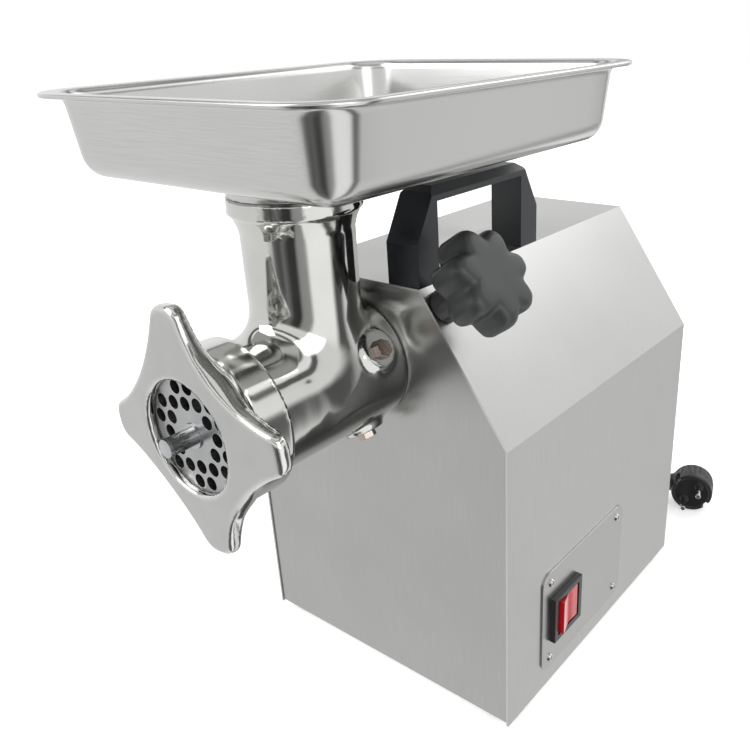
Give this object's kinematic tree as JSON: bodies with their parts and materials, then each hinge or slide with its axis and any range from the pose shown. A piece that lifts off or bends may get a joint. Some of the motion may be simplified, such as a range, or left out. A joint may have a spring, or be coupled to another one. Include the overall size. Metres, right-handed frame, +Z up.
{
  "type": "electric meat grinder",
  "caption": "Countertop electric meat grinder: bent steel casing with geared motor, cast feed head with worm, knife, plate, star ring nut, tray, knob lock and mains lead.",
  "frame": {"origin": "on the surface it stands on, under the middle of the machine's box, which is under the worm's axis", "axes": "+Z up, -Y the way the meat comes out, +X the side with the switch and the locking knob"},
  "size_m": [0.2342, 0.4982, 0.4115],
  "materials": {
    "brushed_sheet": "brushed",
    "steel_fasteners": "bright",
    "rubber": "matte",
    "handle_plastic": "satin moulded",
    "switch_black": "satin",
    "rocker_red": "gloss",
    "knob_plastic": "fine texture",
    "cast_aluminium": "cast",
    "painted_bracket": "satin",
    "ground_steel": "ground",
    "gear_steel": "machined",
    "laminations": "stacked sheet",
    "fan_plastic": "moulded",
    "copper": "enamelled wire",
    "capacitor_shell": "moulded",
    "terminal_plastic": "moulded",
    "polished_casting": "polished",
    "satin_casting": "satin",
    "bronze": "sintered",
    "plate_steel": "ground",
    "tray_steel": "satin, polished rim",
    "lead_black": "satin"
  },
  "bodies": {
    "frame": {"base_plate": "brushed_sheet", "housing_shell": "brushed_sheet", "front_panel": "brushed_sheet", "rear_panel": "brushed_sheet", "panel_brackets": "brushed_sheet", "panel_screws": "steel_fasteners", "feet": "rubber", "foot_screws": "steel_fasteners", "carry_handle": "handle_plastic", "handle_screws": "steel_fasteners", "switch_plate": "brushed_sheet", "switch_plate_screws": "steel_fasteners", "switch_body": "switch_black", "gearbox_housing": "cast_aluminium", "gearbox_cover": "cast_aluminium", "gearbox_bolts": "steel_fasteners", "gearbox_stand": "painted_bracket", "output_bearings": "ground_steel", "shaft_bearings": "ground_steel", "stator": "laminations", "windings": "copper", "motor_bell_front": "cast_aluminium", "motor_bell_rear": "cast_aluminium", "motor_tie_bolts": "steel_fasteners", "motor_cradle": "painted_bracket", "start_capacitor": "capacitor_shell", "terminal_block": "terminal_plastic", "cable_gland": "rubber", "cord": "lead_black", "cord_coil": "lead_black", "cord_tail": "lead_black", "plug": "lead_black", "plug_pins": "steel_fasteners"},
    "rocker": {"rocker": "rocker_red"},
    "lock_stud": {"lock_stud": "steel_fasteners"},
    "lock_knob": {"lock_knob": "knob_plastic"},
    "output": {"output_shaft": "ground_steel", "output_gear": "gear_steel"},
    "layshaft": {"layshaft": "ground_steel", "layshaft_gear": "gear_steel", "layshaft_pinion": "gear_steel"},
    "rotor": {"motor_shaft": "ground_steel", "motor_pinion": "gear_steel", "rotor_core": "laminations", "cooling_fan": "fan_plastic"},
    "head": {"head_casting": "polished_casting", "head_bolts": "steel_fasteners", "neck_bush": "bronze", "plate_key": "steel_fasteners"},
    "worm": {"worm": "polished_casting", "knife": "plate_steel"},
    "plate": {"cutting_plate": "plate_steel"},
    "ring": {"ring_nut": "satin_casting"},
    "tray": {"feed_tray": "tray_steel"}
  },
  "joints": [
    {"name": "rocker_tilt", "type": "hinge", "parent": "frame", "child": "rocker", "pos_m": [0.111, 0.0155, 0.0615], "axis": [0, 0, -1], "range_deg": [0, 16]},
    {"name": "lock_stud_travel", "type": "slide", "parent": "frame", "child": "lock_stud", "axis": [0.8231, 0, 0.568], "range_m": [0, 0.0123]},
    {"name": "lock_knob_turn", "type": "hinge", "parent": "lock_stud", "child": "lock_knob", "pos_m": [0.06585, -0.0415, 0.29194], "axis": [0.8231, 0, 0.568], "range_deg": [0, 2520]},
    {"name": "output_spin", "type": "hinge", "parent": "frame", "child": "output", "pos_m": [0, 0.0075, 0.2465], "axis": [0, 1, 0], "continuous": true},
    {"name": "layshaft_spin", "type": "hinge", "parent": "frame", "child": "layshaft", "pos_m": [0, 0.0075, 0.1905], "axis": [0, 1, 0], "continuous": true},
    {"name": "rotor_spin", "type": "hinge", "parent": "frame", "child": "rotor", "pos_m": [0, 0.0975, 0.1385], "axis": [0, 1, 0], "continuous": true},
    {"name": "head_slide", "type": "slide", "parent": "frame", "child": "head", "axis": [0, -1, 0], "range_m": [0, 0.045]},
    {"name": "worm_spin", "type": "hinge", "parent": "head", "child": "worm", "pos_m": [0, -0.1125, 0.2465], "axis": [0, 1, 0], "continuous": true},
    {"name": "plate_travel", "type": "slide", "parent": "head", "child": "plate", "axis": [0, -1, 0], "range_m": [0, 0.01]},
    {"name": "ring_turn", "type": "hinge", "parent": "plate", "child": "ring", "pos_m": [0, -0.1725, 0.2465], "axis": [0, -1, 0], "range_deg": [0, 900]},
    {"name": "tray_lift", "type": "slide", "parent": "head", "child": "tray", "axis": [0, 0, 1], "range_m": [0, 0.06]}
  ],
  "couplings": [
    {"joint": "layshaft_spin", "follows": "output_spin", "ratio": -2.5},
    {"joint": "rotor_spin", "follows": "output_spin", "ratio": 6.7857},
    {"joint": "worm_spin", "follows": "output_spin", "ratio": 1},
    {"joint": "plate_travel", "follows": "ring_turn", "m_per_rad": 0.00063662},
    {"joint": "lock_stud_travel", "follows": "lock_knob_turn", "m_per_rad": 0.00027852}
  ]
}
